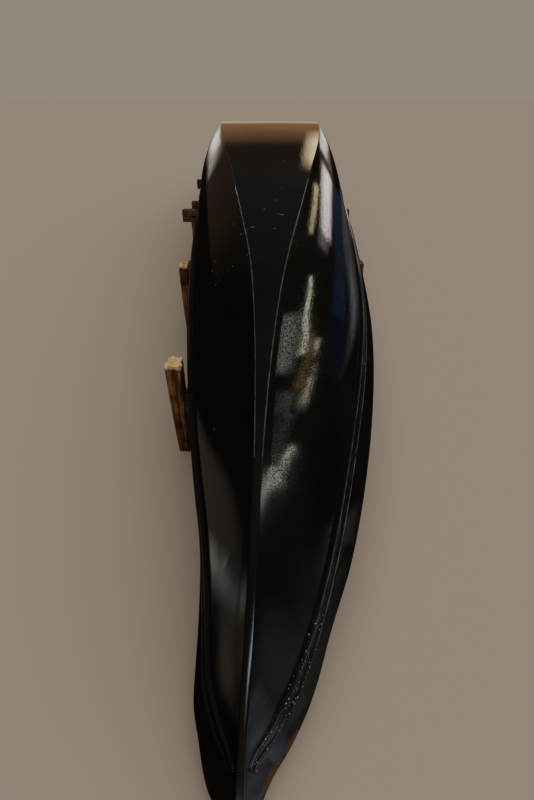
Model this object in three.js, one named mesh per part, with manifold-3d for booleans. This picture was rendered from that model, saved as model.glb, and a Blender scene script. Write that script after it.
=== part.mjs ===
// A Venetian rowing boat (gondola hull), lying keel up on low timber trestles while its
// outside is painted black. Millimetres, +Z up, +Y from the stern tip to the stem tip,
// +X to the boat's port side. The floor is Z = 0.
import * as THREE from 'three';
import { mergeVertices } from 'three/addons/utils/BufferGeometryUtils.js';
import Module from 'manifold-3d';

const wasm = await Module();
wasm.setup();

// Driving dimensions
const LENGTH = 10800;
const MID = LENGTH / 2;
const GAP = 0.3;            // clearance between pieces that touch
const PLANK = 14;           // side planking thickness
const CAP_MID = 20;         // bottom planking thickness amidships
const CAP_END = 40;         // height of the post's outer face where the hull is narrow
const CAP_END_AT = 300;     // the cap is CAP_END thick up to here from a tip
const CAP_MID_AT = 800;     // and CAP_MID thick beyond here
const BULGE = { S: 46, P: 30 };   // how far the side planking swells outside a straight line
const BULGE_END = 0.6;            // and at the tips
const RAIL_DROP = 100;      // rub rail's distance from the gunwale
const RAIL_DROP_SHARE = 0.45;     // and its share of the depth where the hull is shallow

// The keel's outer height along the boat, measured from the stern tip
const KEEL_LINE = [
  [0, 60], [70, 145], [135, 219], [200, 294], [280, 385], [420, 530], [600, 655], [850, 745],
  [1200, 825], [1700, 905], [2300, 975], [3200, 1045], [4300, 1083], [5400, 1052], [6500, 1000],
  [7600, 950], [8500, 900], [9100, 855], [9600, 800], [9950, 735], [10200, 650], [10380, 527],
  [10520, 383], [10600, 293], [10665, 218], [10730, 145], [10800, 60],
];

// Half a boat: one row per station, measured from either tip. X is + to port.
const COLUMNS = ['s', 'chineS', 'chineP', 'railS', 'railP', 'sheer', 'edgeS', 'edgeP'];
const STATION_TABLE = [
  [0, -8, 9, -9, 10, 30, -10, 11],
  [70, -8, 9, -10, 11, 45, -36, 28],
  [135, -4, 12, -12, 14, 70, -78, 61],
  [200, 2, 18, -48, 72, 92, -99, 113],
  [280, 10, 27, -76, 125, 120, -119, 163],
  [420, 20, 37, -91, 187, 165, -122, 222],
  [600, 27, 48, -117, 247, 215, -134, 302],
  [850, 24, 68, -171, 315, 275, -187, 379],
  [1200, 9, 107, -226, 402, 345, -244, 461],
  [1700, -48, 184, -296, 488, 405, -318, 545],
  [2300, -120, 275, -361, 548, 450, -386, 604],
  [3200, -235, 397, -439, 628, 480, -468, 684],
  [4300, -347, 503, -541, 722, 497, -572, 765],
  [5400, -405, 555, -570, 795, 500, -600, 835],
];

// Frames, thwarts, decks and posts
const FRAME_FIRST = 1400;
const FRAME_SPACING = 800;
const FRAME_COUNT = 11;
const FRAME_WIDTH = 36;
const FRAME_FLOOR = 70;     // height of the floor timber
const FRAME_ARM = 42;       // depth of the side arm
const INWALE_HEIGHT = 55;
const INWALE_SHARE = 0.6;   // its share of the sheer strake's height where that is low
const INWALE_WIDTH = 28;
const DECK_THICK = 12;
const DECK_CROWN = 45;
const DECK_CROWN_WIDTH = 850;
const DECK_START = 40;
const AFT_DECK_END = 2300;
const FORE_DECK_END = 8000;
const HEAD_END = 200;       // solid head of either post
const POST_END = 560;       // inner end of either post
const POST_DEPTH = 110;
const POST_OVERLAP = 6;     // how far the shank reaches into the head before they are joined
const RAIL_START = 138;
const RAIL_GAP = 0.7;       // clearance of the rub rail, amidships
const INWALE_GAP = 1.6;     // and of the inwale
const TWIST_GAP = 4;        // of both near the tips, where the planking twists most
const THWARTS = [
  { name: 'thwart_aft', s: 3400, width: 190, above: 150 },
  { name: 'thwart_middle', s: 5000, width: 230, above: 130 },
  { name: 'thwart_fore', s: 7400, width: 190, above: 150 },
];
const THWART_THICK = 24;
const THWART_GAP = 0.8;     // its ends are straight cuts against a curved side
const BOTTOM_JOINTS = [POST_END, 3800, 7000, LENGTH - POST_END];
const SIDE_JOINTS = [HEAD_END, 5400, LENGTH - HEAD_END];
const SHEER_JOINTS = [HEAD_END, 4600, LENGTH - HEAD_END];
const EXTRA_STATIONS = [165, 220, 240, 310, 350, 385, 500, 720, 1000, 2750, 4850];

// Trestles: s is the aft face of the crossbeam. A prop is a post that stands beside the
// starboard gunwale; without one the beam lies on two legs.
const TRESTLES = [
  { name: 'trestle_1', s: 1262, wide: 86, tall: 95, from: -340, to: 425, prop: 442, propWide: 68 },
  { name: 'trestle_2', s: 2440, wide: 86, tall: 95, from: -484, to: 638, prop: 442, propWide: 60 },
  { name: 'trestle_3', s: 3740, wide: 90, tall: 95, from: -661, to: 750, leg: 60, inset: 66 },
  { name: 'trestle_4', s: 4070, wide: 75, tall: 60, from: -628, to: 700, leg: 60, inset: 130 },
  { name: 'trestle_5', s: 5270, wide: 90, tall: 95, from: -738, to: 860, leg: 60, inset: 66 },
  { name: 'trestle_6', s: 7120, wide: 90, tall: 95, from: -860, to: 740, leg: 60, inset: 66 },
  { name: 'trestle_7', s: 9100, wide: 86, tall: 95, from: -400, to: 560, leg: 60, inset: 60 },
];
const SLEEPERS = { trestle_1: [-272, 500], trestle_2: [-424, 700] };
const SLEEPER_TALL = 90;

function finish(name, colour, roughness) {
  const material = new THREE.MeshStandardMaterial({ color: colour, roughness, metalness: 0 });
  material.name = name;
  return material;
}

const BLACK_PAINT = finish('black_paint', 0x0c0c0d, 0.28);
const OILED_WOOD = finish('oiled_wood', 0xa9804f, 0.6);
const OLD_TIMBER = finish('old_timber', 0x8a5c34, 0.85);

const boat = new THREE.Group();

function addPiece(name, geometry, material) {
  const mesh = new THREE.Mesh(geometry, material);
  mesh.name = name;
  boat.add(mesh);
}

// The slopes of a smooth curve through points that keeps their rises and falls. It is level
// at the last point where both halves of the boat meet there.
function slopes(xs, ys, level) {
  const steps = xs.slice(1).map((x, i) => (ys[i + 1] - ys[i]) / (x - xs[i]));
  return xs.map((x, i) => {
    if (i === 0) return steps[0];
    if (i === xs.length - 1) return level ? 0 : steps[i - 1];
    const before = steps[i - 1];
    const after = steps[i];
    if (before * after <= 0) return 0;
    const w1 = 2 * (xs[i + 1] - x) + (x - xs[i - 1]);
    const w2 = (xs[i + 1] - x) + 2 * (x - xs[i - 1]);
    return (w1 + w2) / (w1 / before + w2 / after);
  });
}

function curveThrough(xs, values, level) {
  const rates = slopes(xs, values, level);
  return (x) => {
    let i = xs.findIndex((end) => end > x) - 1;
    if (i < 0) i = xs.length - 2;
    const width = xs[i + 1] - xs[i];
    const t = (x - xs[i]) / width;
    const t2 = t * t;
    const t3 = t2 * t;
    return (2 * t3 - 3 * t2 + 1) * values[i] + (t3 - 2 * t2 + t) * width * rates[i]
      + (3 * t2 - 2 * t3) * values[i + 1] + (t3 - t2) * width * rates[i + 1];
  };
}

const keelAt = curveThrough(KEEL_LINE.map((row) => row[0]), KEEL_LINE.map((row) => row[1]), false);
const stationAt = STATION_TABLE.map((row) => row[0]);
const columnAt = Object.fromEntries(COLUMNS.map((name, i) => (
  [name, curveThrough(stationAt, STATION_TABLE.map((row) => row[i]), true)]
)));

// The hull's outer corners at a distance s from the stern tip
function hullAt(s) {
  const fromTip = Math.min(s, LENGTH - s);
  const hull = { y: s - MID, keel: keelAt(s) };
  for (const name of COLUMNS.slice(1)) hull[name] = columnAt[name](fromTip);
  const share = THREE.MathUtils.clamp((fromTip - CAP_END_AT) / (CAP_MID_AT - CAP_END_AT), 0, 1);
  hull.fullness = share;
  hull.cap = CAP_END + (CAP_MID - CAP_END) * share;
  const swell = Math.min(fromTip / (MID / 2), 1);
  hull.bulgeS = BULGE_END + (BULGE.S - BULGE_END) * swell;
  hull.bulgeP = BULGE_END + (BULGE.P - BULGE_END) * swell;
  const deep = hull.keel - hull.sheer;
  hull.rail = hull.sheer + Math.min(RAIL_DROP, RAIL_DROP_SHARE * deep);
  return hull;
}

// One side of the hull in the station's own plane, set inward from its outer face.
// Returns points from the chine down to the gunwale, as [x, z].
const PANEL_AT = [0, 0.46, 0.74];

function sideLine(hull, side, inset) {
  const sign = side === 'P' ? 1 : -1;
  const chine = [hull['chine' + side], hull.keel];
  const rail = [hull['rail' + side], hull.rail];
  const edge = [hull['edge' + side], hull.sheer];
  const normal = (a, b) => {
    const dx = b[0] - a[0];
    const dz = b[1] - a[1];
    const size = Math.hypot(dx, dz);
    return [-dz * sign / size, dx * sign / size];
  };
  const panelOut = normal(chine, rail);
  const sheerOut = normal(rail, edge);
  const both = [panelOut[0] + sheerOut[0], panelOut[1] + sheerOut[1]];
  const scale = 2 / (both[0] * both[0] + both[1] * both[1]);
  const railOut = [both[0] * scale, both[1] * scale];
  const panel = PANEL_AT.map((t) => {
    const swell = hull['bulge' + side] * 4 * t * (1 - t) - inset;
    return [
      chine[0] + (rail[0] - chine[0]) * t + panelOut[0] * swell,
      chine[1] + (rail[1] - chine[1]) * t + panelOut[1] * swell,
    ];
  });
  return {
    panel,
    rail: [rail[0] - railOut[0] * inset, rail[1] - railOut[1] * inset],
    edge: [edge[0] - sheerOut[0] * inset, edge[1] - sheerOut[1] * inset],
  };
}

// The point at height z on the line through a and b
function atHeight(a, b, z) {
  const t = (z - a[1]) / (b[1] - a[1]);
  return [a[0] + (b[0] - a[0]) * t, z];
}

// Which of two points a face's diagonal starts from, so that faces that touch match. It is
// the higher one abaft the middle and the lower one before it, as the two ends are alike.
function startsAt(p, q) {
  const higher = Math.abs(p[2] - q[2]) > 1e-6 ? p[2] > q[2] : p[0] > q[0];
  return p[1] < 0 ? higher : !higher;
}

// A closed body through rings of points [x, y, z], capped at both ends
function loft(rings) {
  const size = rings[0].length;
  const positions = rings.flat(2);
  const faces = [];
  for (let r = 0; r < rings.length - 1; r += 1) {
    for (let i = 0; i < size; i += 1) {
      const j = (i + 1) % size;
      const a = r * size + i;
      const b = r * size + j;
      const c = a + size;
      const d = b + size;
      if (startsAt(rings[r][i], rings[r][j])) faces.push(a, b, d, a, d, c);
      else faces.push(a, b, c, b, d, c);
    }
  }
  const last = (rings.length - 1) * size;
  for (const [ring, start, turn] of [[rings[0], 0, false], [rings.at(-1), last, true]]) {
    const outline = ring.map((p) => new THREE.Vector2(p[0], p[2]));
    for (const [a, b, c] of THREE.ShapeUtils.triangulateShape(outline, [])) {
      faces.push(...(turn ? [start + c, start + b, start + a] : [start + a, start + b, start + c]));
    }
  }
  const geometry = new THREE.BufferGeometry();
  geometry.setAttribute('position', new THREE.Float32BufferAttribute(positions, 3));
  geometry.setIndex(faces);
  return geometry;
}

// Rings run with their inside on the left seen from astern, so area decides the turn
function ringArea(points) {
  return points.reduce((sum, p, i) => {
    const q = points[(i + 1) % points.length];
    return sum + p[0] * q[1] - q[0] * p[1];
  }, 0) / 2;
}

function ringAt(hull, points) {
  const ordered = ringArea(points) > 0 ? points.slice().reverse() : points;
  return ordered.map(([x, z]) => [x, hull.y, z]);
}

// Every station at which some piece starts, ends or changes, so that touching pieces share them
const frameAt = Array.from({ length: FRAME_COUNT }, (_, i) => FRAME_FIRST + i * FRAME_SPACING);
const stations = [...new Set([
  ...stationAt,
  ...stationAt.map((s) => LENGTH - s),
  ...frameAt.flatMap((s) => [s - FRAME_WIDTH / 2, s + FRAME_WIDTH / 2]),
  ...THWARTS.flatMap((t) => [t.s - t.width / 2, t.s + t.width / 2]),
  AFT_DECK_END, FORE_DECK_END, DECK_START, LENGTH - DECK_START,
  RAIL_START, LENGTH - RAIL_START, POST_END, LENGTH - POST_END,
  ...EXTRA_STATIONS, ...EXTRA_STATIONS.map((s) => LENGTH - s),
])].sort((a, b) => a - b);

// The loft of a piece whose section at each station is given by a function
function alongHull(from, to, section) {
  const inside = stations.filter((s) => s > from + 1 && s < to - 1);
  const rings = [from, ...inside, to].map((s) => {
    const hull = hullAt(s);
    return ringAt(hull, section(hull));
  });
  return loft(rings);
}

function eachPart(joints, make) {
  for (let i = 0; i < joints.length - 1; i += 1) {
    const from = joints[i] + GAP / 2;
    const to = joints[i + 1] - GAP / 2;
    make(from, to, i);
  }
}

// Bottom planking: flat across, from chine to chine
eachPart(BOTTOM_JOINTS, (from, to, i) => {
  const section = (hull) => {
    const under = hull.keel - hull.cap;
    const port = sideLine(hull, 'P', 0);
    const starboard = sideLine(hull, 'S', 0);
    return [
      [hull.chineS, hull.keel],
      [hull.chineP, hull.keel],
      atHeight(port.panel[0], port.panel[1], under),
      atHeight(starboard.panel[0], starboard.panel[1], under),
    ];
  };
  addPiece('bottom_' + ['aft', 'middle', 'fore'][i], alongHull(from, to, section), BLACK_PAINT);
});

// Side planking from the bottom down to the rub rail, and the sheer strake below it
function panelSection(hull, side) {
  const outer = sideLine(hull, side, 0);
  const inner = sideLine(hull, side, PLANK);
  const top = hull.keel - hull.cap - GAP;
  return [
    atHeight(outer.panel[0], outer.panel[1], top), outer.panel[1], outer.panel[2], outer.rail,
    inner.rail, inner.panel[2], inner.panel[1], atHeight(inner.panel[0], inner.panel[1], top),
  ];
}

function sheerSection(hull, side) {
  const outer = sideLine(hull, side, 0);
  const inner = sideLine(hull, side, PLANK);
  const slide = GAP / Math.hypot(outer.rail[0] - outer.edge[0], outer.rail[1] - outer.edge[1]);
  const lower = (a, b) => [a[0] + (b[0] - a[0]) * slide, a[1] + (b[1] - a[1]) * slide];
  return [lower(outer.rail, outer.edge), outer.edge, atHeight(inner.rail, inner.edge, hull.sheer),
    lower(inner.rail, inner.edge)];
}

const SIDE_NAMES = { S: 'starboard', P: 'port' };
for (const side of ['S', 'P']) {
  eachPart(SIDE_JOINTS, (from, to, i) => {
    const name = 'side_plank_' + SIDE_NAMES[side] + ['_aft', '_fore'][i];
    addPiece(name, alongHull(from, to, (hull) => panelSection(hull, side)), BLACK_PAINT);
  });
  eachPart(SHEER_JOINTS, (from, to, i) => {
    const name = 'sheer_strake_' + SIDE_NAMES[side] + ['_aft', '_fore'][i];
    addPiece(name, alongHull(from, to, (hull) => sheerSection(hull, side)), BLACK_PAINT);
  });
}

function twistGap(hull, amidships) {
  return TWIST_GAP + (amidships - TWIST_GAP) * hull.fullness;
}

// Rub rail: a flat strip with a bead along each edge, outside the seam of plank and strake.
// Each point is [distance down from the seam, distance out from the planking].
const RAIL_PROFILE = [
  [-22, 0], [-22, 11], [-14, 11], [-10, 5], [12, 5], [15, 10], [22, 10], [22, 0], [0, 0],
];

function railSection(hull, side) {
  const gap = twistGap(hull, RAIL_GAP);
  const inner = sideLine(hull, side, -gap);
  const outer = sideLine(hull, side, -gap - 1);
  return RAIL_PROFILE.map(([down, out]) => {
    const upper = down < 0;
    const from = inner.rail;
    const to = upper ? inner.panel[2] : inner.edge;
    const reach = Math.hypot(to[0] - from[0], to[1] - from[1]);
    const t = Math.abs(down) / reach;
    const push = upper ? outer.panel[2] : outer.edge;
    const base = [from[0] + (to[0] - from[0]) * t, from[1] + (to[1] - from[1]) * t];
    const away = [push[0] - to[0], push[1] - to[1]];
    const size = Math.hypot(away[0], away[1]);
    return [base[0] + away[0] / size * out, base[1] + away[1] / size * out];
  });
}

for (const side of ['S', 'P']) {
  const geometry = alongHull(RAIL_START, LENGTH - RAIL_START, (hull) => railSection(hull, side));
  addPiece('rub_rail_' + SIDE_NAMES[side], geometry, BLACK_PAINT);
}

// Inwales: the long timbers inside the gunwale
function inwaleSection(hull, side) {
  const inner = sideLine(hull, side, PLANK + twistGap(hull, INWALE_GAP));
  const inboard = side === 'P' ? -INWALE_WIDTH : INWALE_WIDTH;
  const low = atHeight(inner.rail, inner.edge, hull.sheer);
  const high = atHeight(inner.rail, inner.edge, hull.sheer + inwaleHeight(hull));
  return [low, high, [high[0] + inboard, high[1]], [low[0] + inboard, low[1]]];
}

function inwaleHeight(hull) {
  return Math.min(INWALE_HEIGHT, (hull.rail - hull.sheer) * INWALE_SHARE);
}

for (const side of ['S', 'P']) {
  const from = HEAD_END + GAP;
  const geometry = alongHull(from, LENGTH - from, (hull) => inwaleSection(hull, side));
  addPiece('inwale_' + SIDE_NAMES[side], geometry, OILED_WOOD);
}

// Posts: a solid head, then a shank whose face shows between the planks
function headSection(hull) {
  const port = sideLine(hull, 'P', 0);
  const starboard = sideLine(hull, 'S', 0);
  return [
    [hull.chineS, hull.keel], [hull.chineP, hull.keel],
    port.panel[1], port.panel[2], port.rail, port.edge,
    starboard.edge, starboard.rail, starboard.panel[2], starboard.panel[1],
  ];
}

function shankSection(hull) {
  const under = hull.keel - hull.cap;
  const outer = { P: sideLine(hull, 'P', 0), S: sideLine(hull, 'S', 0) };
  const inner = { P: sideLine(hull, 'P', PLANK + GAP), S: sideLine(hull, 'S', PLANK + GAP) };
  const across = (line, z) => atHeight(line.panel[0], line.panel[1], z);
  const deep = Math.max(under - POST_DEPTH, inner.P.panel[1][1] + 1, inner.S.panel[1][1] + 1);
  return [
    [hull.chineS, hull.keel], [hull.chineP, hull.keel], across(outer.P, under), across(inner.P, under),
    across(inner.P, deep), across(inner.S, deep), across(inner.S, under), across(outer.S, under),
  ];
}

function toSolid(geometry) {
  const bare = geometry.clone();
  bare.deleteAttribute('normal');
  bare.deleteAttribute('uv');
  const merged = mergeVertices(bare, 1e-3);
  return new wasm.Manifold(new wasm.Mesh({
    numProp: 3,
    vertProperties: new Float32Array(merged.attributes.position.array),
    triVerts: new Uint32Array(merged.index.array),
  }));
}

function fromSolid(solid) {
  const mesh = solid.getMesh();
  const geometry = new THREE.BufferGeometry();
  geometry.setAttribute('position', new THREE.BufferAttribute(new Float32Array(mesh.vertProperties), 3));
  geometry.setIndex(new THREE.BufferAttribute(new Uint32Array(mesh.triVerts), 1));
  return geometry;
}

for (const [name, aft] of [['stern_post', true], ['stem_post', false]]) {
  const place = (s) => (aft ? s : LENGTH - s);
  const span = (a, b) => [Math.min(place(a), place(b)), Math.max(place(a), place(b))];
  const head = toSolid(alongHull(...span(0, HEAD_END), headSection));
  const shank = toSolid(alongHull(...span(HEAD_END - POST_OVERLAP, POST_END - GAP), shankSection));
  addPiece(name, fromSolid(head.add(shank)), BLACK_PAINT);
}

// Frames: a floor timber across the bottom with an arm down each side to the inwale
function frameSection(hull) {
  const floorTop = hull.keel - hull.cap - GAP;
  const floorUnder = floorTop - FRAME_FLOOR;
  const armEnd = hull.sheer + inwaleHeight(hull) + GAP;
  const run = (side, inset, top) => {
    const line = sideLine(hull, side, inset);
    return [
      atHeight(line.panel[0], line.panel[1], top), line.panel[1], line.panel[2], line.rail,
      atHeight(line.rail, line.edge, armEnd),
    ];
  };
  const skin = PLANK + GAP;
  return [
    ...run('S', skin, floorTop).reverse(), ...run('P', skin, floorTop),
    ...run('P', skin + FRAME_ARM, floorUnder).reverse(), ...run('S', skin + FRAME_ARM, floorUnder),
  ];
}

frameAt.forEach((s, i) => {
  const number = String(i + 1).padStart(2, '0');
  const geometry = alongHull(s - FRAME_WIDTH / 2, s + FRAME_WIDTH / 2, frameSection);
  addPiece('frame_' + number, geometry, OILED_WOOD);
});

// Thwarts: planks across the hull, fitted between the side planks
for (const { name, s, width, above } of THWARTS) {
  const section = (hull) => {
    const low = hull.rail + above;
    const high = low + THWART_THICK;
    const end = (side, z) => {
      const { panel, rail } = sideLine(hull, side, PLANK + THWART_GAP);
      const points = [...panel, rail];
      const i = points.findIndex((p) => p[1] <= z);
      return atHeight(points[i - 1], points[i], z);
    };
    return [end('S', low), end('S', high), end('P', high), end('P', low)];
  };
  addPiece(name, alongHull(s - width / 2, s + width / 2, section), OILED_WOOD);
}

// Decks: crowned boards over the ends, here on the underside
function deckCrown(hull) {
  const share = (hull.edgeP - hull.edgeS) / DECK_CROWN_WIDTH;
  return DECK_CROWN * Math.min(share, 1) ** 2;
}

function deckSection(hull) {
  const top = hull.sheer - GAP;
  const crown = deckCrown(hull);
  const wide = hull.edgeP - hull.edgeS;
  const arch = (t) => [hull.edgeS + wide * t, top - crown * 4 * t * (1 - t)];
  const line = [0, 0.25, 0.5, 0.75, 1].map(arch);
  const under = line.map(([x, z]) => [x, z - DECK_THICK]);
  return [...line, ...under.reverse()];
}

addPiece('deck_aft', alongHull(DECK_START, AFT_DECK_END, deckSection), BLACK_PAINT);
addPiece('deck_fore', alongHull(FORE_DECK_END, LENGTH - DECK_START, deckSection), BLACK_PAINT);

// Trestles
function timber(name, x, y, z) {
  const geometry = new THREE.BoxGeometry(x[1] - x[0], y[1] - y[0], z[1] - z[0]);
  geometry.translate((x[0] + x[1]) / 2, (y[0] + y[1]) / 2, (z[0] + z[1]) / 2);
  addPiece(name, geometry, OLD_TIMBER);
}

// The hull's lowest point over a stretch of its length. It is straight between stations.
function lowestOver(from, to) {
  const lowAt = (s) => {
    const hull = hullAt(s);
    const decked = s < AFT_DECK_END || s > FORE_DECK_END;
    return decked ? hull.sheer - GAP - DECK_THICK - deckCrown(hull) : hull.sheer;
  };
  const between = (s) => {
    const next = stations.findIndex((end) => end > s);
    const [a, b] = [stations[next - 1], stations[next]];
    return THREE.MathUtils.lerp(lowAt(a), lowAt(b), (s - a) / (b - a));
  };
  const inside = stations.filter((s) => s > from && s < to);
  return Math.min(between(from), between(to), ...inside.map(lowAt));
}

for (const { name, s, wide, tall, from, to, prop, propWide, leg, inset } of TRESTLES) {
  const y = [s - MID, s + wide - MID];
  const top = lowestOver(s, s + wide) - GAP;
  const under = top - tall - GAP;
  if (prop) {
    const inner = from + propWide;
    const [left, right] = SLEEPERS[name];
    timber(name + '_prop', [from, inner], y, [0, prop]);
    timber(name + '_beam', [inner + GAP, to], y, [top - tall, top]);
    timber(name + '_sleeper', [left + GAP, right], y, [0, SLEEPER_TALL]);
    timber(name + '_leg', [to - propWide, to], y, [SLEEPER_TALL + GAP, under]);
  } else {
    timber(name + '_beam', [from, to], y, [top - tall, top]);
    timber(name + '_leg_starboard', [from + inset, from + inset + leg], y, [0, under]);
    timber(name + '_leg_port', [to - inset - leg, to - inset], y, [0, under]);
  }
}

export default boat;
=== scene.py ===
# %% [markdown]
# A gondola's hull lies keel up in the yard while its outside is painted black. The packed
# model gives every piece its place and size. This script gives them their looks: smooth
# planking worked out from the boat's lines, wet-looking paint, rough old timbers under the
# hull, and the soft lights that the paint mirrors.

# %% Load the frame
import math

import bpy
import numpy as np
from mathutils import Matrix, Vector


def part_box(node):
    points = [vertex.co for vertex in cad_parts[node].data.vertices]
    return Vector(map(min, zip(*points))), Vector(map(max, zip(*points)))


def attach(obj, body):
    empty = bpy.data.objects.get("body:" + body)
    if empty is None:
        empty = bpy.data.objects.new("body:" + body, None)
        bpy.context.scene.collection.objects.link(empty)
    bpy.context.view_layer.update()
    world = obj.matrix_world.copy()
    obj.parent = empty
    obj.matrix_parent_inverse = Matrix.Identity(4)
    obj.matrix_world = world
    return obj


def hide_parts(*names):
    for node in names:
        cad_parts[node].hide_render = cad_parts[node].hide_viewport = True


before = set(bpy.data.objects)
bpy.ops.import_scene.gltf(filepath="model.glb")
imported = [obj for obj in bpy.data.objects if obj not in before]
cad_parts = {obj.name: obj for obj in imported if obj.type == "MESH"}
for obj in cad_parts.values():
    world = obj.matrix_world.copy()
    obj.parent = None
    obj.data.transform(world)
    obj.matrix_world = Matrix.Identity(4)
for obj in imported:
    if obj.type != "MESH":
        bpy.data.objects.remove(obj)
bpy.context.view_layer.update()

# %% [markdown]
# The camera comes first, as every choice of finish is judged through it. It stands just
# astern of the boat, at a standing person's chest, and looks down along the keel. A short
# lens makes the near end large and the far end small.

# %% Camera
CAMERA_AT = (0.055, -5.55, 1.283)
CAMERA_DOWN = 35.2      # degrees below the horizon
LENS = 19.44            # millimetres on a 36 mm sensor

camera = bpy.data.objects.new("camera", bpy.data.cameras.new("camera"))
camera.location = CAMERA_AT
camera.rotation_euler = (math.radians(90 - CAMERA_DOWN), 0, 0)
camera.data.lens = LENS
camera.data.sensor_width = 36
camera.data.clip_start = 0.02
bpy.context.collection.objects.link(camera)
bpy.context.scene.camera = camera
print("camera", CAMERA_AT, "down", CAMERA_DOWN, "degrees")

# %% [markdown]
# The hull's lines are the same few numbers that a boatbuilder's moulds hold. One table gives
# the keel's height along the boat, and another gives the corners of the cross-section from a
# tip to the middle. Both ends have the same plan, but port is wider than starboard, so that
# one oar can drive the boat straight. The tables are in millimetres, and in metres once read.

# %% Lines of the hull
MM = 0.001
LENGTH = 10800 * MM
PLANK = 14 * MM
CAP_MID, CAP_END = 20 * MM, 40 * MM
CAP_END_AT, CAP_MID_AT = 300 * MM, 800 * MM
BULGE = {"S": 46 * MM, "P": 30 * MM}
BULGE_END = 0.6 * MM
RAIL_DROP, RAIL_DROP_SHARE = 100 * MM, 0.45
HEAD_END, POST_END = 200 * MM, 560 * MM
SEAM = 0.3 * MM

KEEL_LINE = [
    (0, 60), (70, 145), (135, 219), (200, 294), (280, 385), (420, 530), (600, 655), (850, 745),
    (1200, 825), (1700, 905), (2300, 975), (3200, 1045), (4300, 1083), (5400, 1052),
    (6500, 1000), (7600, 950), (8500, 900), (9100, 855), (9600, 800), (9950, 735),
    (10200, 650), (10380, 527), (10520, 383), (10600, 293), (10665, 218), (10730, 145),
    (10800, 60),
]
COLUMNS = ("s", "chineS", "chineP", "railS", "railP", "sheer", "edgeS", "edgeP")
STATIONS = [
    (0, -8, 9, -9, 10, 30, -10, 11),
    (70, -8, 9, -10, 11, 45, -36, 28),
    (135, -4, 12, -12, 14, 70, -78, 61),
    (200, 2, 18, -48, 72, 92, -99, 113),
    (280, 10, 27, -76, 125, 120, -119, 163),
    (420, 20, 37, -91, 187, 165, -122, 222),
    (600, 27, 48, -117, 247, 215, -134, 302),
    (850, 24, 68, -171, 315, 275, -187, 379),
    (1200, 9, 107, -226, 402, 345, -244, 461),
    (1700, -48, 184, -296, 488, 405, -318, 545),
    (2300, -120, 275, -361, 548, 450, -386, 604),
    (3200, -235, 397, -439, 628, 480, -468, 684),
    (4300, -347, 503, -541, 722, 497, -572, 765),
    (5400, -405, 555, -570, 795, 500, -600, 835),
]


def curve(x, xs, ys, level_end):
    """A cubic through the points (xs, ys) that rises and falls only where they do. The slope
    at a point is the weighted harmonic mean of the slopes on either side, or 0 at a turn. With
    level_end it ends level, as a line does that goes on as its own mirror image."""
    wide = np.diff(xs)
    step = np.diff(ys) / wide
    before, after = step[:-1], step[1:]
    w1, w2 = wide[:-1] + 2 * wide[1:], 2 * wide[:-1] + wide[1:]
    turn = before * after <= 0
    safe_before, safe_after = np.where(turn, 1, before), np.where(turn, 1, after)
    inner = np.where(turn, 0, (w1 + w2) / (w1 / safe_before + w2 / safe_after))
    rates = np.concatenate([[step[0]], inner, [0 if level_end else step[-1]]])
    i = np.clip(np.searchsorted(xs, x, side="right") - 1, 0, len(wide) - 1)
    t = (x - xs[i]) / wide[i]
    start, end = ys[i], ys[i + 1]
    return (start + t * wide[i] * rates[i] * (1 - t) ** 2 - t * t * (1 - t) * wide[i] * rates[i + 1]
            + t * t * (3 - 2 * t) * (end - start))


def ramp(x, low, high):
    """0 below low, 1 above high, and a smooth S between."""
    t = np.clip((x - low) / (high - low), 0, 1)
    return t * t * (3 - 2 * t)


# %% [markdown]
# A cubic through a table's points is smooth in direction but not in how fast it bends, and
# gloss paint shows that at once as kinks in its reflections. A real plank is sprung round
# its moulds and bends evenly. So the lines are averaged over a short reach along the boat,
# except near the tips, where they turn quickly.

# %% Fair the lines
FINE = 5 * MM
FAIR_REACH = 120 * MM
FAIR_FROM, FAIR_FULL = 350 * MM, 1000 * MM

fine_s = np.arange(0, LENGTH + FINE / 2, FINE)
fine_tip = np.minimum(fine_s, LENGTH - fine_s)


def faired(values):
    """values averaged with a bell-shaped weight FAIR_REACH wide, fading out at the tips."""
    reach = int(3 * FAIR_REACH / FINE)
    offsets = np.arange(-reach, reach + 1) * FINE
    bell = np.exp(-0.5 * (offsets / FAIR_REACH) ** 2)
    padded = np.pad(values, reach, mode="reflect", reflect_type="odd")
    smooth = np.convolve(padded, bell / bell.sum(), mode="valid")
    return values + (smooth - values) * ramp(fine_tip, FAIR_FROM, FAIR_FULL)


keel_s, keel_z = np.array(KEEL_LINE, float).T * MM
station = dict(zip(COLUMNS, np.array(STATIONS, float).T * MM))
fine = {"keel": faired(curve(fine_s, keel_s, keel_z, False))}
for name in COLUMNS[1:]:
    fine[name] = faired(curve(fine_tip, station["s"], station[name], True))


def hull_at(s):
    """The lines at distances s from the stern tip, each as a column for use with a row of t."""
    s = np.atleast_1d(np.asarray(s, float))
    tip = np.minimum(s, LENGTH - s)
    hull = {name: np.interp(s, fine_s, values) for name, values in fine.items()}
    share = np.clip((tip - CAP_END_AT) / (CAP_MID_AT - CAP_END_AT), 0, 1)
    hull["cap"] = CAP_END + (CAP_MID - CAP_END) * share
    swell = np.minimum(tip / (LENGTH / 4), 1)
    for side in "SP":
        hull["bulge" + side] = BULGE_END + (BULGE[side] - BULGE_END) * swell
    depth = hull["keel"] - hull["sheer"]
    hull["rail"] = hull["sheer"] + np.minimum(RAIL_DROP, RAIL_DROP_SHARE * depth)
    hull["y"] = s - LENGTH / 2
    return {name: values[:, None] for name, values in hull.items()}


amidships = hull_at(LENGTH / 2)
print("gunwale to gunwale:", round((amidships["edgeP"] - amidships["edgeS"]).item(), 3), "m")

# %% [markdown]
# One side of the hull, seen along the boat, is a swelling panel from the chine to the rub
# rail and a straight strake from there to the gunwale. The same function gives the planking's
# outer face and, set inward, its inner face, and everything that lies against either.

# %% One side of the cross-section


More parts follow.
